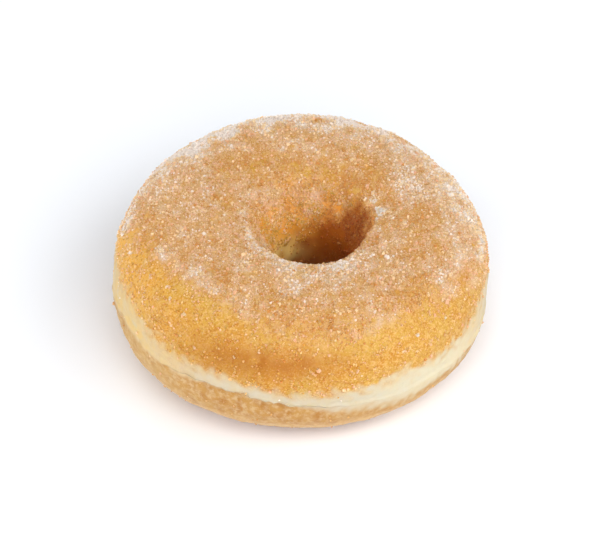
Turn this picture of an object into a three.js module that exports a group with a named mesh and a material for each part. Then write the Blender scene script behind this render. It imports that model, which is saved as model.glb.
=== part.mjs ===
// A yeast-raised ring doughnut, fried on both sides and lying on its base.
// Millimetres, +Z up. The origin is under the middle of the ring's bounding box, on the table.
//
// The ring is one solid, swept from a section that changes with the azimuth. Its two parameters are the
// azimuth u, from +X towards +Y, and the section angle t: 0 at the widest line, a quarter turn at the
// crown, a half turn at the waist of the hole, three quarters at the base. A pale proof band that never
// touched the frying oil runs round the widest line, and along the front it overhangs the lower crust.
import * as THREE from "three";

const degree = Math.PI / 180;
const quarterTurn = Math.PI / 2;

// Plan of the ring.
const outerRadius = 46; // mean, at the widest line
const crownRadius = 26; // of the highest line of the section
const holeRadius = 8.7; // at the waist of the hole
const holeShift = { size: 2.2, towards: -12 * degree }; // the hole sits a little off centre
const crownFollowsHole = 0.4; // share of the hole's shift that the crown takes
const oval = { size: 1.1, towards: 57 * degree }; // the outline is slightly oval,
const corners = { size: 0.55, towards: 87 * degree }; // and slightly three-cornered

// Height of the section.
const widestHeight = 18.1; // of the widest line above the table
const topRise = 18.7; // of the crown above the widest line
const lean = { slope: 0.05, towards: 180 * degree }; // the dough rose more on one side
const baseSink = 1.04; // how far the lower dome runs past the table before it is pressed flat

// Squareness of each part of the section: 2 is an ellipse, and more is boxier.
const topSquareness = 2.4;
const baseSquareness = 2.37;
const holeSquareness = 2.3;

// The lip of the hole: a low ridge where the top turns down, a hollow under it, and a dent across it.
const lip = { angle: 127, spread: 9, ridge: 0.45 };
const lipHollow = { angle: 146, spread: 13, depth: 0.55 };
const lipDent = { azimuth: 20, width: 6, angle: 118, spread: 13, depth: 0.8 };

// The proof band: how far its edges lie above the widest line, and the swells and dips of each edge,
// each with its size, its middle azimuth and its spread in degrees.
const bandTop = { rise: 4.4, swells: [[2.7, 207, 24], [-2.9, 264, 24]] };
const bandFoot = { rise: -3.4, swells: [[4.2, 203, 20], [3.4, 250, 24]] };
const bandHollow = { depth: 0.35, footBlend: 1.1, topBlend: 3 }; // the band is a shallow groove

// Where the lower crust tore away from the band, the band's foot juts out over it.
const ledge = { overhang: 0.45, undercut: 0.55, azimuth: 256, width: 19, drop: 0.35, fade: 7 };

// Slow swells of the dough: depth, waves round the ring, waves round the section, start.
const swells = [
  [0.14, 4, 1, 5.4],
  [0.11, 5, -2, 2.0],
  [0.08, 7, 2, 4.9],
  [0.06, 9, -1, 2.9],
  [0.05, 11, 3, 6.2],
];

// How finely the solid is cut into facets.
const stepsAround = 96;
const sectionSteps = { band: 7, ledge: 1, topOuter: 12, topInner: 12, baseInner: 8, baseOuter: 10 };

const signedPower = (value, power) => Math.sign(value) * Math.abs(value) ** power;

// 1 where an angle is at a bump's middle and 0 far from it. The middle and the spread are in degrees.
function bump(angle, middle, spread) {
  const away = angle - middle * degree;
  const turned = Math.atan2(Math.sin(away), Math.cos(away)) / degree;
  return Math.exp(-((turned / spread) ** 2));
}

function smoothStep(low, high, value) {
  const share = Math.min(1, Math.max(0, (value - low) / (high - low)));
  return share * share * (3 - 2 * share);
}

// Height of an edge of the proof band above the widest line.
function edgeRise(edge, u) {
  return edge.swells.reduce((rise, [size, middle, spread]) => rise + size * bump(u, middle, spread), edge.rise);
}

// Radii of the outline, the crown and the hole at an azimuth.
function planRadii(u) {
  const shift = holeShift.size * Math.cos(u - holeShift.towards);
  const outer =
    outerRadius +
    oval.size * Math.cos(2 * (u - oval.towards)) +
    corners.size * Math.cos(3 * (u - corners.towards));
  return { outer, crown: crownRadius + crownFollowsHole * shift, hole: holeRadius + shift };
}

// Section angle at which the outer side passes a height above or below the widest line.
function angleAtRise(rise) {
  const square = rise > 0 ? topSquareness : baseSquareness;
  const height = rise > 0 ? topRise : widestHeight;
  return Math.asin(signedPower(rise / height, square / 2));
}

// The ridge, hollow and dent at the lip of the hole.
function lipRelief(u, t) {
  const ridge = lip.ridge * bump(t, lip.angle, lip.spread);
  const hollow = lipHollow.depth * bump(t, lipHollow.angle, lipHollow.spread);
  const dent = lipDent.depth * bump(u, lipDent.azimuth, lipDent.width) * bump(t, lipDent.angle, lipDent.spread);
  return ridge - hollow - dent;
}

// The groove of the proof band and the ledge at its foot, at a height above the widest line.
function bandRelief(u, rise) {
  const [foot, top] = [edgeRise(bandFoot, u), edgeRise(bandTop, u)];
  const pastFoot = smoothStep(foot - ledge.drop, foot, rise);
  const pastTop = smoothStep(top, top + bandHollow.topBlend, rise);
  const groove = bandHollow.depth * smoothStep(foot, foot + bandHollow.footBlend, rise) * (1 - pastTop);
  const jut = ledge.overhang * pastFoot * (1 - smoothStep(foot, foot + ledge.fade, rise));
  const recess = ledge.undercut * (1 - pastFoot) * smoothStep(foot - ledge.fade, foot - ledge.drop, rise);
  return (jut - recess) * bump(u, ledge.azimuth, ledge.width) - groove;
}

// How far the finished dough stands proud of the plain section.
function relief(u, t, rise) {
  const slow = swells.reduce(
    (sum, [depth, around, across, start]) => sum + depth * Math.cos(around * u + across * t + start),
    0,
  );
  return slow + lipRelief(u, t) + (Math.cos(t) > 0 ? bandRelief(u, rise) : 0);
}

// A point of the surface: a superellipse section with the relief added away from the section's middle.
function surfacePoint(u, t) {
  const { outer, crown, hole } = planRadii(u);
  const [across, up] = [Math.cos(t), Math.sin(t)];
  const outerSquareness = up > 0 ? topSquareness : baseSquareness;
  const square = across > 0 ? outerSquareness : holeSquareness;
  const reach = across > 0 ? outer - crown : crown - hole;
  const radius = crown + reach * signedPower(across, 2 / square);
  const climb = Math.abs(up) ** (2 / square);

  const middle = widestHeight + lean.slope * radius * Math.cos(u - lean.towards);
  const height = up > 0 ? middle + topRise * climb : middle * (1 - baseSink * climb);
  const [outwards, upwards] = [radius - crown, height - middle];
  const swell = 1 + relief(u, t, upwards) / Math.hypot(outwards, upwards);

  const finishedRadius = crown + outwards * swell;
  const finishedHeight = Math.max(middle + upwards * swell, 0); // the base is flat on the table
  return [finishedRadius * Math.cos(u), finishedRadius * Math.sin(u), finishedHeight];
}

// Section angles at one azimuth. Facet rows follow both edges of the band and the ledge under it.
function sectionAngles(u) {
  const foot = angleAtRise(edgeRise(bandFoot, u));
  const underFoot = angleAtRise(edgeRise(bandFoot, u) - ledge.drop);
  const top = angleAtRise(edgeRise(bandTop, u));
  const stretches = [
    [foot, top, sectionSteps.band],
    [top, quarterTurn, sectionSteps.topOuter],
    [quarterTurn, 2 * quarterTurn, sectionSteps.topInner],
    [2 * quarterTurn, 3 * quarterTurn, sectionSteps.baseInner],
    [3 * quarterTurn, 4 * quarterTurn + underFoot, sectionSteps.baseOuter],
    [4 * quarterTurn + underFoot, 4 * quarterTurn + foot, sectionSteps.ledge],
  ];
  return stretches.flatMap(([from, to, steps]) =>
    Array.from({ length: steps }, (_, step) => from + ((to - from) * step) / steps),
  );
}

// The closed skin of the ring: a grid that wraps round both ways, with two triangles to a facet.
function ringGeometry() {
  const rows = Array.from({ length: stepsAround }, (_, step) => {
    const u = (step / stepsAround) * 4 * quarterTurn;
    return sectionAngles(u).map((t) => surfacePoint(u, t));
  });
  const stations = rows[0].length;
  const corner = (row, station) => (row % stepsAround) * stations + (station % stations);

  const triangles = [];
  for (let row = 0; row < stepsAround; row += 1) {
    for (let station = 0; station < stations; station += 1) {
      const [a, b] = [corner(row, station), corner(row + 1, station)];
      const [c, d] = [corner(row + 1, station + 1), corner(row, station + 1)];
      triangles.push(a, b, c, a, c, d);
    }
  }
  const geometry = new THREE.BufferGeometry();
  geometry.setAttribute("position", new THREE.Float32BufferAttribute(rows.flat(2), 3));
  geometry.setIndex(triangles);

  geometry.computeBoundingBox();
  const middle = geometry.boundingBox.getCenter(new THREE.Vector3());
  geometry.translate(-middle.x, -middle.y, 0);
  geometry.computeVertexNormals();
  return geometry;
}

const friedDough = new THREE.MeshStandardMaterial({ color: 0xdca257, roughness: 0.55, metalness: 0 });

const ring = new THREE.Mesh(ringGeometry(), friedDough);
ring.name = "doughnut_ring";

const doughnut = new THREE.Group();
doughnut.add(ring);

export default doughnut;
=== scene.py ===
# A sugar doughnut: a yeast-raised ring, fried golden on both sides and rolled in granulated sugar.
# Blender 4.5. Lengths are in millimetres and angles in degrees until a mesh is made.
import math

import bpy
import numpy as np
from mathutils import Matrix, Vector


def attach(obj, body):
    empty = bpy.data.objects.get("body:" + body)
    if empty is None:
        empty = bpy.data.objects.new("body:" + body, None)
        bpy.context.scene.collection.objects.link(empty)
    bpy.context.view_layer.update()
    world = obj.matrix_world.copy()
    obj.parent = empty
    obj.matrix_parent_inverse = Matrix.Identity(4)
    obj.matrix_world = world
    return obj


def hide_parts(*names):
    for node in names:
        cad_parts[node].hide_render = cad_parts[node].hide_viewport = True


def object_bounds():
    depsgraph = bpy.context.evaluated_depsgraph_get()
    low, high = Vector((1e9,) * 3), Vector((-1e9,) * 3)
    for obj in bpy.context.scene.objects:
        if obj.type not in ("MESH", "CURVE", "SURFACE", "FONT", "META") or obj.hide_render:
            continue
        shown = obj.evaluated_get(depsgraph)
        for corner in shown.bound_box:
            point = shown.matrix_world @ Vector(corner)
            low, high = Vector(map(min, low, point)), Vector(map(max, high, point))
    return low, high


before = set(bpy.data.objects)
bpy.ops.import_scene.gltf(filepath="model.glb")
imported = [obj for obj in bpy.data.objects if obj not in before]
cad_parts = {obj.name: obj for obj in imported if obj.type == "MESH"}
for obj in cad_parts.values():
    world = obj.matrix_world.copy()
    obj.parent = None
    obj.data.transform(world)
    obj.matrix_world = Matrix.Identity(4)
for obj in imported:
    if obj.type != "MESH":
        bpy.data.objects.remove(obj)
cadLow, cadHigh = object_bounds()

millimetre = 0.001
boxLow = np.array(cadLow) / millimetre
boxHigh = np.array(cadHigh) / millimetre


def linearColour(hexColour):
    # "#rrggbb" as sRGB, turned to the linear numbers that shaders take
    parts = [int(hexColour[i:i + 2], 16) / 255 for i in (1, 3, 5)]
    linear = [c / 12.92 if c <= 0.04045 else ((c + 0.055) / 1.055) ** 2.4 for c in parts]
    return (*linear, 1.0)


def addNode(tree, kind, inputs, **settings):
    # adds a shader node, sets its fields, and gives each input a link, a colour or a number
    node = tree.nodes.new(kind)
    for field, value in settings.items():
        setattr(node, field, value)
    for socket, value in inputs.items():
        if isinstance(value, bpy.types.NodeSocket):
            tree.links.new(value, node.inputs[socket])
        else:
            node.inputs[socket].default_value = linearColour(value) if isinstance(value, str) else value
    return node


def newMaterial(name, **shaderInputs):
    # a Principled material with numbers and colours on the shader's own sockets
    material = bpy.data.materials.new(name)
    material.use_nodes = True
    shader = material.node_tree.nodes["Principled BSDF"]
    for socket, value in shaderInputs.items():
        shader.inputs[socket.replace("_", " ")].default_value = (
            linearColour(value) if isinstance(value, str) else value)
    return material


def makePiece(name, points, faces, materials, slots=None, smooth=False, attributes=None):
    # one mesh object at the origin: points in millimetres, and faces that all have as many corners
    mesh = bpy.data.meshes.new(name)
    mesh.vertices.add(len(points))
    mesh.vertices.foreach_set("co", (points * millimetre).astype(np.float32).ravel())
    mesh.loops.add(faces.size)
    mesh.loops.foreach_set("vertex_index", faces.astype(np.int32).ravel())
    mesh.polygons.add(len(faces))
    mesh.polygons.foreach_set("loop_start", np.arange(0, faces.size, faces.shape[1], dtype=np.int32))
    mesh.polygons.foreach_set("use_smooth", np.full(len(faces), smooth))
    for material in materials:
        mesh.materials.append(material)
    if slots is not None:
        mesh.polygons.foreach_set("material_index", slots.astype(np.int32))
    for label, values in (attributes or {}).items():
        mesh.attributes.new(label, "FLOAT", "POINT").data.foreach_set("value", values.astype(np.float32))
    mesh.update(calc_edges=True)
    piece = bpy.data.objects.new(name, mesh)
    bpy.context.scene.collection.objects.link(piece)
    print(f"{name}: {len(points)} points, {len(faces)} faces")
    return piece


def cosDegrees(angle):
    # the cosine of an angle in degrees
    return np.cos(np.radians(angle))


def signedPower(value, power):
    # the size of a value to a power, with the value's own sign
    return np.sign(value) * np.abs(value) ** power


def smoothStep(low, high, value):
    # from 0 at low to 1 at high along 3s² - 2s³, which is level at both ends
    share = np.clip((value - low) / (high - low), 0, 1)
    return share * share * (3 - 2 * share)


def between(t, start, end):
    # 1 on a stretch of the section and 0 off it: it rises over the first pair of
    # angles, and falls over the second
    return smoothStep(*start, t) * (1 - smoothStep(*end, t))


def bump(angle, middle, spread):
    # a bell curve round a circle: 1 at the middle and 0 far from it
    turned = (angle - middle + 180) % 360 - 180
    return np.exp(-((turned / spread) ** 2))


def bumpsRound(u, rows):
    # a sum of bumps round the ring, each with its strength, azimuth and spread
    return sum(strength * bump(u, azimuth, spread) for strength, azimuth, spread in rows)


def spots(u, t, rows):
    # a sum of bumps on the skin, each with its azimuth, section angle, width, height and strength
    return sum(strength * bump(u, azimuth, width) * bump(t, angle, height)
               for azimuth, angle, width, height, strength in rows)


def alongAzimuth(u, stations):
    # straight lines between given stations round the ring
    azimuths, values = np.array(stations).T
    return np.interp(u % 360, azimuths, values, period=360)


def ripple(points, wavelength, seed, waves=28):
    # unevenness with a spread of 1: a sum of plane waves of about one length, in random directions
    rng = np.random.default_rng(seed)
    direction = rng.normal(size=(waves, 3))
    direction /= np.linalg.norm(direction, axis=1)[:, None]
    pace = 2 * np.pi / (wavelength * rng.uniform(0.8, 1.25, waves))
    start = rng.uniform(0, 2 * np.pi, waves)
    return np.cos(points @ (direction * pace[:, None]).T + start).sum(1) * math.sqrt(2 / waves)


def unevenness(points, *ripples):
    # a sum of ripples, each with its size, wavelength and seed
    return sum(size * ripple(points, wavelength, seed) for size, wavelength, seed in ripples)


# the dough's form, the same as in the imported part
ring = dict(
    outerRadius=46, crownRadius=26, holeRadius=8.7,
    holeShift=2.2, holeShiftTowards=-12, crownFollowsHole=0.4,
    oval=1.1, ovalTowards=57, corners=0.55, cornersTowards=87,
    widestHeight=18.1, topRise=18.7, leanSlope=0.05, leanTowards=180, baseSink=1.04,
    topSquareness=2.4, baseSquareness=2.37, holeSquareness=2.3,
    # depth, waves round the ring, waves round the section, start
    swells=[(0.14, 4, 1, 5.4), (0.11, 5, -2, 2.0), (0.08, 7, 2, 4.9), (0.06, 9, -1, 2.9), (0.05, 11, 3, 6.2)],
)
lip = dict(
    angle=127, spread=9, ridge=0.45,
    hollowAngle=146, hollowSpread=13, hollow=0.55,
    dent=[(20, 118, 6, 13, 0.8)],  # azimuth, section angle, width, height, depth
)
band = dict(
    top=4.4, topSwells=[(2.7, 207, 24), (-2.9, 264, 24)],
    foot=-3.4, footSwells=[(4.2, 203, 20), (3.4, 250, 24)],
    hollow=0.35, footBlend=1.1, topBlend=3,
)
ledge = dict(
    overhang=0.45, undercut=0.55, azimuth=256, width=19, drop=0.35, fade=7,
    teeth=[(0.16, 37, 0.4), (0.13, 61, 2.2), (0.1, 97, 5.1), (0.08, 149, 1.0)],  # size, waves round, start
    steepness=0.6, tornBeside=0.25, tornOnLedge=1.2,  # how far the teeth reach beside it, and more on it
)


def topRise(u):
    # height of the band's upper edge above the widest line: a mean rise and a few swells
    return band["top"] + bumpsRound(u, band["topSwells"])


def footRise(u, ragged=True):
    # the same for its lower edge, with torn teeth where it juts out: powers of cosines, which have
    # steep flanks
    teeth = sum(size * signedPower(np.cos(waves * np.radians(u) + start), ledge["steepness"])
                for size, waves, start in ledge["teeth"])
    torn = ledge["tornBeside"] + ledge["tornOnLedge"] * bump(u, ledge["azimuth"], ledge["width"])
    return band["foot"] + bumpsRound(u, band["footSwells"]) + teeth * torn * ragged


def ringForm(u, t, ragged=True):
    # u goes round the ring, and t round its section from the widest line over the crown. The section is a
    # superellipse about the crown's radius, and low relief swells it away from the section's middle.
    shift = ring["holeShift"] * cosDegrees(u - ring["holeShiftTowards"])
    outer = (ring["outerRadius"] + ring["oval"] * cosDegrees(2 * (u - ring["ovalTowards"]))
             + ring["corners"] * cosDegrees(3 * (u - ring["cornersTowards"])))
    crown = ring["crownRadius"] + ring["crownFollowsHole"] * shift
    hole = ring["holeRadius"] + shift
    across = cosDegrees(t)
    up = np.sin(np.radians(t))
    outerSquareness = np.where(up > 0, ring["topSquareness"], ring["baseSquareness"])
    square = np.where(across > 0, outerSquareness, ring["holeSquareness"])
    radius = crown + np.where(across > 0, outer - crown, crown - hole) * signedPower(across, 2 / square)
    climb = np.abs(up) ** (2 / square)
    middle = ring["widestHeight"] + ring["leanSlope"] * radius * cosDegrees(u - ring["leanTowards"])
    height = np.where(up > 0, middle + ring["topRise"] * climb, middle * (1 - ring["baseSink"] * climb))
    outwards = radius - crown
    upwards = height - middle

    relief = sum(depth * np.cos(around * np.radians(u) + turns * np.radians(t) + start)
                 for depth, around, turns, start in ring["swells"])
    relief = relief + lip["ridge"] * bump(t, lip["angle"], lip["spread"])
    relief = relief - lip["hollow"] * bump(t, lip["hollowAngle"], lip["hollowSpread"])
    relief = relief - spots(u, t, lip["dent"])
    foot = footRise(u, ragged)
    top = topRise(u)
    pastFoot = smoothStep(foot - ledge["drop"], foot, upwards)
    pastTop = smoothStep(top, top + band["topBlend"], upwards)
    groove = band["hollow"] * smoothStep(foot, foot + band["footBlend"], upwards) * (1 - pastTop)
    jut = ledge["overhang"] * pastFoot * (1 - smoothStep(foot, foot + ledge["fade"], upwards))
    nearFoot = smoothStep(foot - ledge["fade"], foot - ledge["drop"], upwards)
    recess = ledge["undercut"] * (1 - pastFoot) * nearFoot
    side = (jut - recess) * bump(u, ledge["azimuth"], ledge["width"]) - groove
    relief = relief + np.where(across > 0, side, 0)

    swell = 1 + relief / np.hypot(outwards, upwards)
    radius = crown + outwards * swell
    height = np.maximum(middle + upwards * swell, 0)
    return np.stack([radius * cosDegrees(u), radius * np.sin(np.radians(u)), height], -1)


def heightOverWidest(u, t):
    # how far a point of the form lies above the widest line, which leans with the ring
    point = ringForm(u, t)
    lean = ring["leanSlope"] * np.hypot(point[:, 0], point[:, 1]) * cosDegrees(u - ring["leanTowards"])
    return point[:, 2] - ring["widestHeight"] - lean


# the middle of the plain form's box is the frame's origin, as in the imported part
aroundGrid, sectionGrid = np.meshgrid(np.arange(0, 360, 1.5), np.arange(0, 360, 1.5), indexing="ij")
plainForm = ringForm(aroundGrid.ravel(), sectionGrid.ravel(), ragged=False)
ringMiddle = (plainForm.min(0) + plainForm.max(0)) / 2 * [1, 1, 0]

# the sugar coat: how thick it lies, from 0, bare, over 1, an even coat, up to 3 in drifts. Ripples have a
# size, a wavelength and a seed. Spots have an azimuth, a section angle, a width, a height and a strength
coat = dict(
    depth=0.42,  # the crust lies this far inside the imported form, which is the sugar's outer face
    # azimuth, and the section angle down to which the thick coat reaches: the shoulder in front, and well
    # down the far side
    edge=[(0, 22), (25, 20), (60, 14), (110, 10), (150, 18), (176, 32), (190, 53), (204, 63), (219, 70),
          (234, 69), (246, 64), (259, 55), (276, 50), (300, 52), (315, 57), (330, 48), (345, 30)],
    edgeBlur=13, edgeWander=(4, 7, 21),
    # the same, for where it ends in the hole
    inside=[(0, 158), (30, 160), (60, 160), (95, 156), (120, 150), (140, 146), (156, 142), (172, 146),
            (186, 158), (200, 150), (215, 137), (230, 132), (300, 140), (330, 152)],
    insideBlur=14, insideWander=(3, 5, 22),
    # within its edges, an even coat is mottled, with thick drifts and thin gaps
    mottle=[(0.18, 6, 23), (0.25, 2.6, 24)], thinnest=0.15, thickest=3,
    drifts=[(22, 83, 12, 9, 1.5), (33, 85, 8, 7, 1.0), (24, 118, 5, 7, 1.4), (9, 117, 4, 5, 2.0),
            (332, 55, 5, 6, 1.3), (358, 67, 4, 5, 0.8), (162, 93, 5, 6, 1.0), (187, 90, 5, 6, 0.8),
            (205, 63, 5, 4, 2.2), (213, 69, 5, 4, 1.8), (220, 73, 5, 5, 1.8), (232, 71, 4, 5, 2.0),
            (241, 67, 4, 5, 1.0), (152, 92, 7, 6, 0.8), (150, 118, 8, 5, 1.0), (182, 122, 10, 5, 1.8),
            (200, 130, 10, 6, 1.8), (228, 127, 20, 7, 3.4), (265, 121, 30, 5, 2.2), (304, 118, 16, 7, 2.6)],
    gaps=[(66, 119, 10, 6, 1), (92, 113, 9, 6, 1), (20, 111, 5, 6, 1), (177, 111, 7, 5, 1),
          (119, 101, 12, 7, 1), (150, 60, 12, 8, 1), (100, 80, 14, 8, 1), (40, 100, 8, 6, 1),
          (34, 113, 13, 8, 1)],
    gapDepth=0.4,
    # how much more or less of the sugar stayed dry, also in drifts and gaps and in the hole
    dryAreas=[(0.25, 8, 26), (0.3, 3.2, 27)],
    driftsDrier=0.6, gapsWetter=0.8, holeWetter=0.25, hole=((116, 136), (240, 260)),
    # a whiter and thicker strip along the far shoulder, its whiteness painted sheen where sugar is seen at a
    # slant: azimuth and section angle, azimuth and strength
    strip=[(0, 42), (15, 48), (45, 56), (75, 61), (110, 60), (135, 54), (150, 54), (165, 38), (185, 24)],
    stripSheen=[(0, 1.4), (15, 1.7), (30, 1.6), (45, 1.1), (60, 1.1), (75, 2.0), (90, 1.9), (110, 2.1),
                (135, 2.7), (150, 1.6), (165, 0.8), (185, 2.0), (205, 0.6), (230, 0), (300, 0), (330, 0.8),
                (345, 1.3)],
    stripHeight=22, stripPatches=(0.35, 7, 28), stripThicker=0.25,
    # drier spots, and wetter ones, which are below 0
    drySpots=[(270, 101, 38, 13, 1.2), (300, 108, 14, 10, 0.9), (300, 38, 10, 22, 1.3),
              (278, 56, 18, 9, -0.9), (282, 67, 7, 7, -0.7), (317, 54, 9, 15, -1.6),
              (347, 42, 8, 7, -0.8), (225, 60, 7, 8, 0.8), (187, 57, 14, 14, -1.1),
              (200, 36, 14, 20, -0.6), (212, 38, 14, 14, -0.6), (240, 22, 14, 12, -0.6),
              (142, 56, 13, 10, 1.1), (168, 66, 12, 12, 0.6), (119, 64, 10, 9, -0.7),
              (134, 91, 12, 14, -0.8), (105, 110, 8, 7, -0.9), (0, 85, 9, 24, -0.5),
              (18, 108, 12, 12, 0.5), (26, 103, 8, 6, 0.5), (40, 92, 12, 8, -0.6),
              (342, 118, 10, 10, -0.2), (258, 121, 20, 6, 0.6), (135, 115, 16, 8, -0.6),
              (50, 118, 34, 16, -0.8), (35, 130, 16, 12, -0.5), (64, 158, 18, 12, -1.1),
              (80, 141, 18, 8, 0.9), (132, 141, 18, 9, 1.0), (186, 152, 12, 13, 1.3),
              (200, 130, 14, 8, 0.6), (180, 26, 8, 8, 0.6)],
)


def sheenStrip(u, t):
    # a bump across the strip's middle line, times the strength of its painted sheen there
    middle = alongAzimuth(u, coat["strip"])
    return alongAzimuth(u, coat["stripSheen"]) * bump(t, middle, coat["stripHeight"])


def dryness(u, t, point):
    # about 0 on average: slow unevenness, more in drifts and on the far shoulder, where the whiter grains are
    # painted sheen, less in gaps and the hole
    t = t % 360
    areas = unevenness(point, *coat["dryAreas"]) + spots(u, t, coat["drySpots"])
    strip = sheenStrip(u, t) * (1 + unevenness(point, coat["stripPatches"]))
    heaped = coat["driftsDrier"] * spots(u, t, coat["drifts"])
    wetter = coat["gapsWetter"] * spots(u, t, coat["gaps"]) + coat["holeWetter"] * between(t, *coat["hole"])
    return areas + strip + heaped - wetter


def coatThickness(u, t, point):
    # one blurred, wandering edge outside, times one in the hole, times a mottle with drifts and gaps
    t = t % 360
    edge = alongAzimuth(u, coat["edge"]) + unevenness(point, coat["edgeWander"])
    outside = smoothStep(edge - coat["edgeBlur"], edge + coat["edgeBlur"], t)
    innerEdge = alongAzimuth(u, coat["inside"]) + unevenness(point, coat["insideWander"])
    inside = 1 - smoothStep(innerEdge - coat["insideBlur"], innerEdge + coat["insideBlur"], t)
    heaped = spots(u, t, coat["drifts"]) - coat["gapDepth"] * spots(u, t, coat["gaps"])
    mottle = 1 + unevenness(point, *coat["mottle"]) + heaped + coat["stripThicker"] * sheenStrip(u, t)
    return outside * inside * np.clip(mottle, coat["thinnest"], coat["thickest"])


# the mesh of the crust under the sugar, and its finest unevenness
crust = dict(
    around=480,  # rows of faces round the ring, and below, faces along each stretch of the section
    band=32, topOuter=46, topInner=52, baseInner=24, baseOuter=44, ledge=6,
    unevenness=[(0.1, 11, 11), (0.06, 5, 12), (0.035, 2.4, 13), (0.018, 1.2, 14)],
    # upright folds in the wall of the hole: depth, how many, and how they wander
    puckers=0.05, puckersRound=15, puckersWander=(2, 9, 15), puckered=((125, 150), (230, 260)),
)


def skin(u, t):
    # points of the crust and its outward directions: the form moved in by the coat's depth, and uneven
    step = 0.05
    point = ringForm(u, t)
    alongU = ringForm(u + step, t) - ringForm(u - step, t)
    alongT = ringForm(u, t + step) - ringForm(u, t - step)
    normal = np.cross(alongU, alongT)
    normal /= np.maximum(np.linalg.norm(normal, axis=1), 1e-9)[:, None]
    onTable = point[:, 2] <= 0.001
    normal[onTable] = [0, 0, -1]
    folds = np.cos(np.radians(crust["puckersRound"] * u) + unevenness(point, crust["puckersWander"]))
    puckers = crust["puckers"] * between(t % 360, *crust["puckered"]) * folds
    depth = unevenness(point, *crust["unevenness"]) + puckers - coat["depth"]
    point = point + normal * depth[:, None]
    point[:, 2] = np.maximum(point[:, 2], 0)
    return point - ringMiddle, normal


def angleAtRise(rise):
    # section angle at which the outer side passes a height above or below the widest line
    square = np.where(rise > 0, ring["topSquareness"], ring["baseSquareness"])
    height = np.where(rise > 0, ring["topRise"], ring["widestHeight"])
    return np.degrees(np.arcsin(signedPower(rise / height, square / 2)))


def sectionAngles(u):
    # section angles at each azimuth: rows of faces follow both edges of the band, so the ledge stays crisp
    foot = angleAtRise(footRise(u))
    underFoot = 360 + angleAtRise(footRise(u) - ledge["drop"])
    top = angleAtRise(topRise(u))
    crown, waist, base = (np.full(len(u), angle) for angle in (90.0, 180.0, 270.0))
    stretches = [(foot, top, crust["band"]), (top, crown, crust["topOuter"]),
                 (crown, waist, crust["topInner"]), (waist, base, crust["baseInner"]),
                 (base, underFoot, crust["baseOuter"]), (underFoot, 360 + foot, crust["ledge"])]
    return np.concatenate([low[:, None] + (high - low)[:, None] * np.arange(steps) / steps
                           for low, high, steps in stretches], axis=1)


def closedGrid(rows, columns):
    # four-cornered faces of a grid that wraps round both ways: each point, the next row's, and their
    # neighbours
    index = np.arange(rows * columns).reshape(rows, columns)
    nextRow = np.roll(index, -1, 0)
    return np.stack([index, nextRow, np.roll(nextRow, -1, 1), np.roll(index, -1, 1)], -1).reshape(-1, 4)


# where the pale band lies and how it is shaded. Rows of bumps have a strength, an azimuth and a spread, and
# what wanders has a size, a wavelength and a seed
bandLook = dict(
    topWander=(0.4, 3, 31), footWander=(0.6, 2.6, 35), shadeWander=(0.1, 2.4, 34),
    keptCrisp=8,  # so much wider than the ledge is the stretch where the foot doesn't wander
    footBlur=0.15, softness=0.3, softerBesideLedge=1.1, softer=[(3.5, 300, 26)],
    # from which share of its height the band turns golden, and over which share it does so. On the right it
    # starts later and takes less
    goldenFrom=0.15, goldenShifts=[(0.4, 190, 28), (0.25, 254, 12), (-0.15, 322, 12), (0.3, 350, 10)],
    laterOnRight=0.2, laterFrom=(268, 300),
    goldenOver=0.85, goldenSlower=[(0.8, 256, 16)],
    fasterOnRight=0.1, fasterFrom=(275, 295),
    smeared=[(0.35, 228, 8)],  # where crust shows through it
    # where it is creamier (the row on the left is painted light that lightens it), where only its upper part
    # is, and where the crust just below it is
    creamyAndLit=[(1.1, 204, 30), (0.5, 340, 16)], creamyTop=[(0.3, 308, 28)], topFrom=(0.25, 0.7),
    creamyBelow=[(0.2, 304, 28), (0.35, 213, 18)], belowBlur=1,
    underBlur=(0.6, 0.2),  # how far below and above the foot the lower crust's colours begin
    leastHeight=0.5,  # where its edges nearly meet, the band counts as this high
    blond=[(1, 320, 26)],  # where it is lighter
)


def bandMasks(u, rise, points):
    # pale rises over the band's wandering foot and falls over a share of its height. The other masks lie on
    # the band, or below it
    besideLedge = 1 - bump(u, ledge["azimuth"], ledge["width"])
    wandering = 1 - bump(u, ledge["azimuth"], ledge["width"] + bandLook["keptCrisp"])
    foot = footRise(u)
    top = topRise(u) + unevenness(points, bandLook["topWander"])
    fringe = foot + unevenness(points, bandLook["footWander"]) * wandering
    softness = bandLook["softness"] + bandLook["softerBesideLedge"] * besideLedge
    softness = softness + bumpsRound(u, bandLook["softer"])
    share = (rise - foot) / np.maximum(top - foot, bandLook["leastHeight"])
    share = share + unevenness(points, bandLook["shadeWander"])
    golden = bandLook["goldenFrom"] + bumpsRound(u, bandLook["goldenShifts"])
    golden = golden + bandLook["laterOnRight"] * smoothStep(*bandLook["laterFrom"], u)
    goldenOver = bandLook["goldenOver"] + bumpsRound(u, bandLook["goldenSlower"])
    goldenOver = goldenOver - bandLook["fasterOnRight"] * smoothStep(*bandLook["fasterFrom"], u)
    pale = smoothStep(fringe - softness, fringe + bandLook["footBlur"], rise)
    pale = pale * (1 - smoothStep(golden, golden + goldenOver, share))
    pale = pale * (1 - bumpsRound(u, bandLook["smeared"]))

    creamyTop = smoothStep(*bandLook["topFrom"], share) * bumpsRound(u, bandLook["creamyTop"])
    below = 1 - smoothStep(foot - bandLook["belowBlur"], foot + bandLook["belowBlur"], rise)
    creamAndPaintedLight = (bumpsRound(u, bandLook["creamyAndLit"]) + creamyTop) * pale
    creamAndPaintedLight = np.clip(creamAndPaintedLight + below * bumpsRound(u, bandLook["creamyBelow"]), 0, 1)
    before, after = bandLook["underBlur"]
    under = 1 - smoothStep(fringe - before, fringe + after, rise)
    return pale, creamAndPaintedLight, pale * bumpsRound(u, bandLook["blond"]), under


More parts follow.
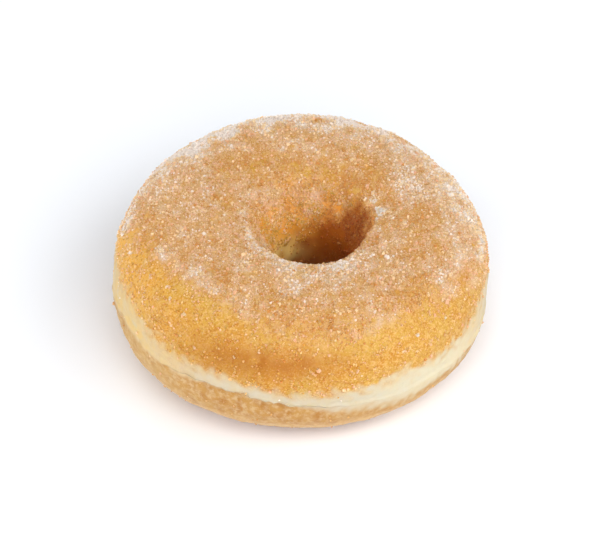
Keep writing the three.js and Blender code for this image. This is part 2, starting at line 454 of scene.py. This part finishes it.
# where the rest of the crust takes which colour
crustLook = dict(
    browned=[(255, 26, 22, 13, 1.0), (275, 29, 16, 12, 0.3), (240, 13, 12, 7, 0.4), (283, -31, 7, 7, 0.5),
             (300, -20, 40, 14, 0.2)],
    paintedLightLeft=[(182, 30, 36, 40, 1)],  # painted light: the crust made lighter and yellower on the left flank
    rimAngle=303, rimSpread=11, weakRim=[(0.6, 318, 32)],  # the brown rim round the base
    lowLightAngle=324, lowLightSpread=9,  # a lighter line above it: painted light, as if bounced up from the floor
    # in the hole: where its wall begins and ends, where it stayed pale, a spot lit lighter and yellower by
    # painted light, and azimuth and the section angle from which it is dark brown, the crust's own colour
    # deepened by painted shade
    wall=((118, 138), (205, 235)), wallUnder=(190, 215),
    innerPaleAndLit=[(126, 183, 34, 12.5, 1), (160, 173, 18, 9, 0.7)], innerPaleWander=(0.3, 5, 32),
    deepDarkAndShade=[(0, 129), (28, 129), (45, 151), (66, 160), (94, 176), (130, 186), (170, 186), (230, 176),
          (300, 160), (340, 145)],
    deepWander=(3, 4, 33), deepBlur=(15, 12), deepEnd=(200, 225),
    # the film of sugar is weaker in the dark, painted-shade part and inside the lip
    deepBare=0.85, wallBare=0.6, wallBareFrom=(116, 136),
    dryRange=(-0.6, 1.6),  # the dryness at which the film starts to look dry, and at which it is
)


def crustMasks(u, t, points):
    # from 0 to 1 at each point: where the crust is pale, browned, underside, in the hole, or under sugar, and
    # where painted light or shade lies
    t = t % 360
    outside = cosDegrees(t) > 0
    pale, creamAndPaintedLight, blond, under = bandMasks(u, heightOverWidest(u, t), points)
    innerPaleAndLit = spots(u, t, crustLook["innerPaleAndLit"])
    innerPaleAndLit = innerPaleAndLit * np.clip(1 + unevenness(points, crustLook["innerPaleWander"]), 0, 1.2)
    # painted shade on the crust's own dark brown: it starts at angles that follow where the hole's wall falls
    # into shade
    deepFrom = alongAzimuth(u, crustLook["deepDarkAndShade"]) + unevenness(points, crustLook["deepWander"])
    before, after = crustLook["deepBlur"]
    deepDarkAndShade = between(t, (deepFrom - before, deepFrom + after), crustLook["deepEnd"])
    sugared = np.clip(coatThickness(u, t, points), 0, 1) * (1 - crustLook["deepBare"] * deepDarkAndShade)
    rim = bump(t, crustLook["rimAngle"], crustLook["rimSpread"])
    return dict(
        pale=np.clip(np.where(outside, pale, 0), 0, 1),
        creamAndPaintedLight=np.where(outside, creamAndPaintedLight, 0),
        blond=np.where(outside, blond, 0),
        rim=rim * (1 - bumpsRound(u, crustLook["weakRim"])),
        paintedLowLight=bump(t, crustLook["lowLightAngle"], crustLook["lowLightSpread"]),
        innerPaleAndLit=np.clip(np.where(outside, 0, innerPaleAndLit), 0, 1),
        browned=np.clip(spots(u, t, crustLook["browned"]), 0, 1),
        paintedLightLeft=spots(u, t, crustLook["paintedLightLeft"]),
        under=np.where(outside, under, smoothStep(*crustLook["wallUnder"], t)),
        inner=between(t, *crustLook["wall"]),
        deepDarkAndShade=deepDarkAndShade,
        film=sugared * (1 - crustLook["wallBare"] * smoothStep(*crustLook["wallBareFrom"], t)),
        dry=sugared * smoothStep(*crustLook["dryRange"], dryness(u, t, points)),
    )


# fried yeast dough: a thin oily crust, golden where it floated in hot fat, over soft crumb that light enters.
# Wavelength in millimetres, detail and roughness of each noise, then the colours from the bottom up: mask (or
# none), noise, the noise's range and the share that range gives, and the colour laid on
friedDough = dict(
    noises=dict(broad=(7, 3, 0.5), blotch=(2.6, 3, 0.55), mottle=(1.3, 3, 0.6), speckle=(0.7, 2, 0.5),
                grain=(0.42, 1, 0.5)),
    golden="#c8993a",
    layers=[
        (None, "broad", 0.38, 0.62, 0, 0.9, "#c68a2c"),
        # painted light: the left flank made lighter and yellower
        ("paintedLightLeft", "broad", 0.3, 0.7, 0.9, 1, "#eeae46"),
        (None, "speckle", 0.5, 0.68, 0, 0.75, "#b0680e"),
        (None, "mottle", 0.52, 0.62, 0, 0.55, "#daae62"),
        (None, "grain", 0.52, 0.64, 0, 0.6, "#e2b878"),
        ("under", "broad", 0.35, 0.65, 0.9, 1, "#ba8943"),
        ("under", "blotch", 0.42, 0.62, 0, 0.9, "#a66a22"),
        ("under", "mottle", 0.42, 0.66, 0, 0.8, "#d0b080"),
        ("browned", "blotch", 0.3, 0.65, 0.55, 1, "#aa6612"),
        ("rim", "mottle", 0.3, 0.6, 0.5, 1, "#ac6e3c"),
        # painted light: a lighter line low on the side
        ("paintedLowLight", "mottle", 0.3, 0.6, 0.4, 0.9, "#dab684"),
        ("inner", "blotch", 0.3, 0.7, 0.7, 1, "#e09430"),
        # dark brown deep in the hole: partly the crust's own colour, partly painted shade
        ("deepDarkAndShade", "blotch", 0.3, 0.7, 0.85, 1, "#a25210"),
        # partly painted light: the pale crumb in the hole, made lighter and yellower as if lit by light
        # bounced about the hole
        ("innerPaleAndLit", "blotch", 0.3, 0.6, 0.85, 1, "#f8d27c"),
        ("pale", "broad", 0.3, 0.6, 0.95, 1, "#c7bca6"),
        ("pale", "blotch", 0.4, 0.7, 0, 0.5, "#cab484"),
        ("blond", "broad", 0.3, 0.6, 0.8, 1, "#d5caac"),
        # partly painted light: the band made lighter on the left, where light falls on it
        ("creamAndPaintedLight", "blotch", 0.35, 0.65, 0.6, 1, "#dfbc78"),
        ("film", "blotch", 0.35, 0.6, 0.3, 0.6, "#d69c5c"),
        ("film", "mottle", 0.45, 0.65, 0, 0.4, "#dcb686"),
        ("dry", "mottle", 0.3, 0.65, 0.6, 1, "#dabfa8"),
    ],
    roughness=(0.42, 0.62),  # from satin with oil to nearly matt
    grainDepth=0.2, grainStrength=0.6,
    lightBends=1.36, lightEnters=0.2, lightReach=1.6, reachOfColours=(1.0, 0.55, 0.25),
)


def makeCrustMaterial():
    # each layer's share is its noise within a range, times its mask, and mixes its colour over those below
    material = newMaterial("fried_dough", IOR=friedDough["lightBends"],
                           Subsurface_Weight=friedDough["lightEnters"],
                           Subsurface_Radius=friedDough["reachOfColours"],
                           Subsurface_Scale=friedDough["lightReach"] * millimetre)
    tree = material.node_tree
    shader = tree.nodes["Principled BSDF"]
    place = addNode(tree, "ShaderNodeTexCoord", {}).outputs["Object"]
    noises = {
        label: addNode(tree, "ShaderNodeTexNoise", {"Vector": place, "Scale": 1 / (wavelength * millimetre),
                                                    "Detail": detail, "Roughness": rough}).outputs["Fac"]
        for label, (wavelength, detail, rough) in friedDough["noises"].items()
    }
    colour = friedDough["golden"]
    for mask, noise, low, high, least, most, laidOn in friedDough["layers"]:
        ramp = {"Value": noises[noise], "From Min": low, "From Max": high, "To Min": least, "To Max": most}
        share = addNode(tree, "ShaderNodeMapRange", ramp).outputs["Result"]
        if mask:
            where = addNode(tree, "ShaderNodeAttribute", {}, attribute_name=mask).outputs["Fac"]
            share = addNode(tree, "ShaderNodeMath", {0: where, 1: share}, operation="MULTIPLY").outputs[0]
        mix = addNode(tree, "ShaderNodeMix", {0: share, 6: colour, 7: laidOn}, data_type="RGBA")
        colour = mix.outputs[2]
    tree.links.new(colour, shader.inputs["Base Color"])

    smoothest, roughest = friedDough["roughness"]
    ramp = {"Value": noises["blotch"], "To Min": smoothest, "To Max": roughest}
    tree.links.new(addNode(tree, "ShaderNodeMapRange", ramp).outputs["Result"], shader.inputs["Roughness"])
    height = addNode(tree, "ShaderNodeMath", {0: noises["mottle"], 1: noises["speckle"]}, operation="ADD")
    relief = addNode(tree, "ShaderNodeBump", {"Height": height.outputs[0],
                                              "Strength": friedDough["grainStrength"],
                                              "Distance": friedDough["grainDepth"] * millimetre})
    tree.links.new(relief.outputs["Normal"], shader.inputs["Normal"])
    return material


def makeCrust():
    # the skin on a closed grid, with the masks on its points
    azimuths = np.arange(crust["around"]) * 360 / crust["around"]
    t = sectionAngles(azimuths)
    rows, columns = t.shape
    u = np.repeat(azimuths, columns)
    t = t.ravel()
    points, _ = skin(u, t)
    return makePiece("doughnut_crust", points, closedGrid(rows, columns), [makeCrustMaterial()],
                     smooth=True, attributes=crustMasks(u, t, points))


# granulated sugar: small crystals with flat, glinting faces. Those that soaked up frying fat show the crust's
# colour through them, and dry ones look white. Each crystal is one colour all through.
sugar = dict(
    # grains of the coat, from soaked to dry: name, colour, roughness and gloss, and the dryness between one
    # and the next. Fat round a grain takes its gloss away
    coat=dict(
        finishes=[("sugar_brown", "#a65a24", 0.5, 0.2), ("sugar_caramel", "#b87430", 0.5, 0.3),
                  ("sugar_soaked", "#ce9048", 0.5, 0.4), ("sugar_honey", "#d8a86a", 0.45, 0.5),
                  ("sugar_peach", "#e4b289", 0.4, 0.5), ("sugar_pale", "#f2cc9e", 0.4, 0.5),
                  ("sugar_dry", "#f8e0d0", 0.3, 0.5)],
        thresholds=[-3.3, -2.2, -1.0, -0.1, 0.8, 1.7]),
    # and of those that sank into the bare crust
    bare=dict(
        finishes=[("sugar_amber", "#c48c38", 0.5, 0.25), ("sugar_gold", "#d4a048", 0.5, 0.25),
                  ("sugar_butter", "#eabc7e", 0.45, 0.3)],
        thresholds=[-1.1, 0.0]),
)
# how light goes through every crystal: it enters all of it, and comes out close by
sugarLight = dict(bends=1.54, enters=1.0, reach=0.3, reachOfColours=(1.0, 0.9, 0.8))

# the kinds of grain: what they lie on, their shape, number, size and its spread, and the share that strayed
dustSugar = dict(name="sugar_dust", onto="coat", shape="splinter", count=48000, size=0.2, spread=0.2,
                 seed=100, strays=0.05)
fineSugar = dict(name="sugar_fine", onto="coat", shape="gem", count=24500, size=0.25, spread=0.2,
                 seed=101, strays=0.1)
mediumSugar = dict(name="sugar_medium", onto="coat", shape="block", count=16400, size=0.31, spread=0.18,
                   seed=102, strays=0.18)
coarseSugar = dict(name="sugar_coarse", onto="coat", shape="block", count=5600, size=0.42, spread=0.22,
                   seed=103, strays=0.35)
# soaked grains that sank into the crust where no coat lies
sunkenSugar = dict(name="sugar_sunken", onto="bare", palette="bare", shape="gem", count=8500, size=0.48,
                   spread=0.25, seed=105, strays=0, lift=-0.22)
# the sparse grains under the doughnut, which it rests on
baseSugar = dict(name="sugar_base", onto="base", shape="gem", count=16000, size=0.34, spread=0.25, seed=106,
                 strays=0, extraDry=1.3)
# grains that stuck together: azimuth, section angle and radius of each lump, how many grains it has, and how
# much drier they are
clumpSugar = dict(
    name="sugar_clumps", shape="block", size=0.34, spread=0.2, seed=104, dome=0.4,
    lumps=[(9, 116, 1.2, 150, 1.8), (14, 118, 0.7, 36, 1.8), (5, 118, 0.5, 16, 1.8),
           (2, 121, 0.5, 12, 1.8), (24, 117, 0.9, 30, 1.8), (28, 113, 0.7, 16, 1.8),
           (22, 86, 2.6, 44, 1.2), (31, 91, 2.0, 26, 1.2), (229, 42, 0.5, 7, 1.6),
           (210, 47, 0.5, 6, 1.6), (222, 46, 0.5, 5, 1.6), (218, 52, 0.5, 5, 1.6),
           (236, 22, 0.4, 5, 1.8), (195, 41, 0.4, 4, 1.6), (257, 35, 0.5, 5, 1.6),
           (249, 26, 0.4, 4, 1.6), (275, 23, 0.3, 4, 2.0), (309, 31, 0.4, 4, 1.6),
           (322, 30, 0.4, 4, 1.6)],
)

# how many single grains lie where, and how dry they look
grainRules = dict(
    cellStep=0.75,
    # strays and the grains under the base: their mean, its unevenness, and its least and most
    strays=0.6, strayPatches=[(0.4, 4, 25)], strayRange=(0.1, 2),
    base=0.7, basePatches=[(0.45, 9, 36), (0.35, 3, 37)], baseRange=(0.05, 2),
    baseStretch=((225, 245), (294, 312)),  # the section angles of the base, from the hole to the rim
    bandEdge=1.9,  # strays already keep off where the band is half pale
    # how much fewer strays stick where a mask is 1, or how many more, below 0, and the same for sunken ones
    fewerStrays=dict(band=0.98, deepDarkAndShade=0.5, under=0.92, innerPaleAndLit=0.9, browned=0.4, inner=-1.5),
    fewerSunken=dict(film=0.9, inner=-1, deepDarkAndShade=1, browned=0.4),
    fewerSunkenRound=[(0.65, 312, 36)], lastSunken=290,
    # how much drier grains look where a mask is 1, lighter also under the painted light on the left, and how
    # much less they differ on the strip of painted sheen
    drier=dict(pale=1.8, browned=-1, paintedLightLeft=0.6), stripEvener=0.25,
    # grains off the coat differ less and are wetter, most of all on the wall; in the dark of the hole they
    # are darkened further, as painted shade
    offCoatDiffer=0.6, offCoatWetter=0.3, wallWetter=0.25,
    wettest=-2, deepEvener=0.35, deepShadeDarker=3.3, deepPower=1.5,  # wettest before the dark is counted
)

# how crystals differ: the least and most of their size, their stretch and how high they sit, as shares of the
# plain shape's, and how far a corner moves
crystalChance = dict(size=(0.5, 1.8), stretch=(0.75, 1.2), cornerShift=0.12, rise=(0.0, 0.3))
# corners and triangles of the three crystal shapes, each about one unit across
crystals = dict(
    splinter=(np.array([(1, 1, 1), (1, -1, -1), (-1, 1, -1), (-1, -1, 1)]) * 0.45,
              np.array([(0, 1, 2), (0, 3, 1), (0, 2, 3), (1, 3, 2)])),
    gem=(np.array([(1, 0, 0), (-1, 0, 0), (0, 1, 0), (0, -1, 0), (0, 0, 1), (0, 0, -1)]) * 0.62,
         np.array([(0, 2, 4), (2, 1, 4), (1, 3, 4), (3, 0, 4), (2, 0, 5), (1, 2, 5), (3, 1, 5), (0, 3, 5)])),
    block=(np.array([(x, y, z) for x in (-1, 1) for y in (-1, 1) for z in (-1, 1)]) * 0.5,
           np.array([(0, 1, 3), (0, 3, 2), (4, 6, 7), (4, 7, 5), (0, 4, 5), (0, 5, 1),
                     (2, 3, 7), (2, 7, 6), (0, 2, 6), (0, 6, 4), (1, 5, 7), (1, 7, 3)])),
)


def fewer(weight, masks, rule):
    # a weight times what is left of it under each mask of a rule
    for mask, share in grainRules[rule].items():
        weight = weight * (1 - share * masks[mask])
    return weight


def grainCells():
    # small cells of the form with their places, and four weights for each: its area times the coat's
    # thickness, times the share of strays, of sunken grains, and of those under the base
    step = grainRules["cellStep"]
    angles = np.arange(0, 360, step)
    u, t = (grid.ravel() for grid in np.meshgrid(angles, angles, indexing="ij"))
    point = ringForm(u, t)
    area = np.linalg.norm(np.cross(ringForm(u + step, t) - point, ringForm(u, t + step) - point), axis=1)
    place = point - ringMiddle
    masks = crustMasks(u, t, place)
    masks["band"] = np.minimum(grainRules["bandEdge"] * masks["pale"], 1)
    strays = grainRules["strays"] + unevenness(point, *grainRules["strayPatches"])
    strays = fewer(area * np.clip(strays, *grainRules["strayRange"]), masks, "fewerStrays")
    bare = fewer(strays * (1 - bumpsRound(u, grainRules["fewerSunkenRound"])), masks, "fewerSunken")
    base = grainRules["base"] + unevenness(point, *grainRules["basePatches"])
    base = np.clip(base, *grainRules["baseRange"]) * between(t, *grainRules["baseStretch"])
    return dict(step=step, u=u, t=t, coat=area * coatThickness(u, t, place), strays=strays,
                bare=bare * (t < grainRules["lastSunken"]), base=area * base)


def scatter(kind, cells, rng):
    # azimuths and section angles of the grains: a cell is drawn by its weight, and a place in it evenly
    chance = np.cumsum(cells[kind["onto"]] + kind["strays"] * cells["strays"])
    cell = np.searchsorted(chance, rng.random(kind["count"]) * chance[-1])
    inCell = rng.random((2, len(cell))) * cells["step"]
    return cells["u"][cell] + inCell[0], cells["t"][cell] + inCell[1]


def heap(kind, rng):
    # azimuths, section angles, heights and dryness of grains in low domes: even over a dome's disc and under
    # its top
    azimuth, angle, radius, count, extraDry = np.array(kind["lumps"]).T
    azimuth, angle, radius, extraDry = (np.repeat(values, count.astype(int))
                                        for values in (azimuth, angle, radius, extraDry))
    away = np.sqrt(rng.random(len(radius)))
    turn = rng.uniform(0, 2 * np.pi, len(radius))
    reach = np.linalg.norm(ringForm(azimuth, angle)[:, :2], axis=1)
    u = azimuth + np.degrees(radius * away * np.cos(turn) / reach)
    t = angle + np.degrees(radius * away * np.sin(turn) / ring["topRise"])
    domeTop = kind["dome"] * np.sqrt(radius) * np.sqrt(1 - away ** 2)
    return u, t, domeTop * rng.random(len(radius)), extraDry


def randomTurns(count, rng):
    # rotation matrices from random unit quaternions
    quaternion = rng.normal(size=(4, count))
    w, x, y, z = quaternion / np.linalg.norm(quaternion, axis=0)
    return np.stack([
        1 - 2 * (y * y + z * z), 2 * (x * y - w * z), 2 * (x * z + w * y),
        2 * (x * y + w * z), 1 - 2 * (x * x + z * z), 2 * (y * z - w * x),
        2 * (x * z - w * y), 2 * (y * z + w * x), 1 - 2 * (x * x + y * y)], -1).reshape(-1, 3, 3)


def grainDryness(u, t, seat, rng):
    # the coat's dryness with chance, evened out and made wetter off the coat, darkened as painted shade in
    # the dark of the hole, and changed under each mask
    rules = grainRules
    masks = crustMasks(u, t, seat)
    offCoat = 1 - masks["film"]
    dry = dryness(u, t, seat) + rng.normal(size=len(u)) * (1 - rules["stripEvener"] * sheenStrip(u, t))
    dry = dry * (1 - (1 - rules["offCoatDiffer"]) * offCoat) - rules["offCoatWetter"] * offCoat
    # painted shade: grains deep in the hole are made darker
    deepDarkAndShade = masks["deepDarkAndShade"] * (1 - masks["innerPaleAndLit"])
    dry = np.maximum(dry, rules["wettest"]) * (1 - rules["deepEvener"] * deepDarkAndShade)
    dry = dry - rules["deepShadeDarker"] * deepDarkAndShade ** rules["deepPower"]
    dry = dry - rules["wallWetter"] * masks["inner"] * offCoat
    return dry + sum(more * masks[mask] for mask, more in rules["drier"].items())


def makeGrains(kind, materials, rng, u, t, lift=0, extraDry=0):
    # one joined mesh: each grain is a crystal with its corners moved a little, stretched, turned and set down
    count = len(u)
    corners, faces = crystals[kind["shape"]]
    seat, normal = skin(u, t)
    size = kind["size"] * np.clip(np.exp(kind["spread"] * rng.normal(size=count)), *crystalChance["size"])
    stretch = rng.uniform(*crystalChance["stretch"], (count, 1, 3))
    farthest = crystalChance["cornerShift"]
    shape = corners + rng.uniform(-farthest, farthest, (count, *corners.shape))
    shape = shape * stretch * size[:, None, None]
    shape = np.einsum("nij,nkj->nki", randomTurns(count, rng), shape)
    height = size * rng.uniform(*crystalChance["rise"], count) + lift
    points = (shape + (seat + normal * height[:, None])[:, None, :]).reshape(-1, 3)
    palette = kind.get("palette", "coat")
    dry = grainDryness(u, t, seat, rng) + extraDry
    slots = np.repeat(np.digitize(dry, sugar[palette]["thresholds"]), len(faces))
    joined = (faces + (np.arange(count) * len(corners))[:, None, None]).reshape(-1, 3)
    return makePiece(kind["name"], np.clip(points, boxLow, boxHigh), joined, materials[palette], slots=slots)


def makeSugar():
    # every kind of grain as a piece of its own, in the finishes of its palette
    materials = {
        place: [newMaterial(name, Base_Color=tint, Roughness=rough, IOR=sugarLight["bends"],
                            Specular_IOR_Level=gloss, Subsurface_Weight=sugarLight["enters"],
                            Subsurface_Radius=sugarLight["reachOfColours"],
                            Subsurface_Scale=sugarLight["reach"] * millimetre)
                for name, tint, rough, gloss in palette["finishes"]]
        for place, palette in sugar.items()
    }
    cells = grainCells()
    pieces = []
    for kind in (dustSugar, fineSugar, mediumSugar, coarseSugar, sunkenSugar, baseSugar):
        rng = np.random.default_rng(kind["seed"])
        pieces.append(makeGrains(kind, materials, rng, *scatter(kind, cells, rng), lift=kind.get("lift", 0),
                                 extraDry=kind.get("extraDry", 0)))
    rng = np.random.default_rng(clumpSugar["seed"])
    pieces.append(makeGrains(clumpSugar, materials, rng, *heap(clumpSugar, rng)))
    return pieces


print("crust")
crustPiece = makeCrust()
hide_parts("doughnut_ring")
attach(crustPiece, "root")

print("sugar")
for grains in makeSugar():
    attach(grains, "root")

# a white table under a pale sky, with a large soft lamp in front and weak ones beside and behind
studio = dict(
    floorSide=4000, floorColour="#fafcff", sky=0.33, skyColour="#f0f6ff",
    # name, azimuth and elevation it shines from, distance, width and watts
    lamps=[("frontLamp", -80, 42, 1500, 1700, 21.9), ("sideLamp", -15, 40, 1500, 1200, 8.6),
           ("backLamp", 112, 18, 1500, 900, 5.8), ("leftLamp", 190, 16, 1500, 900, 7.3)],
    lampAim=(0, 0, 15),
    cameraAzimuth=-90, cameraElevation=42, cameraDistance=1000, lens=249.2, cameraAim=(-0.19, -0.84, 17.46),
    farthest=10000,
)


def towards(azimuth, elevation):
    # the unit vector that points there
    turn = math.radians(azimuth)
    climb = math.radians(elevation)
    return np.array([math.cos(turn) * math.cos(climb), math.sin(turn) * math.cos(climb), math.sin(climb)])


def aimAt(thing, place, target):
    # puts a camera or lamp at a place, in millimetres, looking at a target
    thing.location = Vector(place) * millimetre
    thing.rotation_euler = (Vector(target) - Vector(place)).to_track_quat("-Z", "Y").to_euler()
    bpy.context.scene.collection.objects.link(thing)


def makeStudio():
    # matt paper scatters light evenly and shows no gloss
    half = studio["floorSide"] / 2
    paper = newMaterial("matt_paper", Base_Color=studio["floorColour"], Roughness=1.0, Specular_IOR_Level=0.0)
    corners = np.array([(-half, -half, 0), (half, -half, 0), (half, half, 0), (-half, half, 0)])
    makePiece("paper_floor", corners, np.array([[0, 1, 2, 3]]), [paper])

    world = bpy.data.worlds.new("pale_sky")
    world.use_nodes = True
    world.node_tree.nodes["Background"].inputs["Color"].default_value = linearColour(studio["skyColour"])
    world.node_tree.nodes["Background"].inputs["Strength"].default_value = studio["sky"]
    bpy.context.scene.world = world

    for name, azimuth, elevation, distance, width, watts in studio["lamps"]:
        lamp = bpy.data.lights.new(name, "AREA")
        lamp.shape = "DISK"
        lamp.size = width * millimetre
        lamp.energy = watts
        place = towards(azimuth, elevation) * distance
        aimAt(bpy.data.objects.new(name, lamp), place, studio["lampAim"])

    camera = bpy.data.cameras.new("camera")
    camera.lens = studio["lens"]
    camera.clip_end = studio["farthest"] * millimetre
    aim = np.array(studio["cameraAim"])
    place = aim + towards(studio["cameraAzimuth"], studio["cameraElevation"]) * studio["cameraDistance"]
    seen = bpy.data.objects.new("camera", camera)
    aimAt(seen, place, aim)
    bpy.context.scene.camera = seen
    bpy.context.scene.view_settings.view_transform = "Standard"


print("studio")
makeStudio()
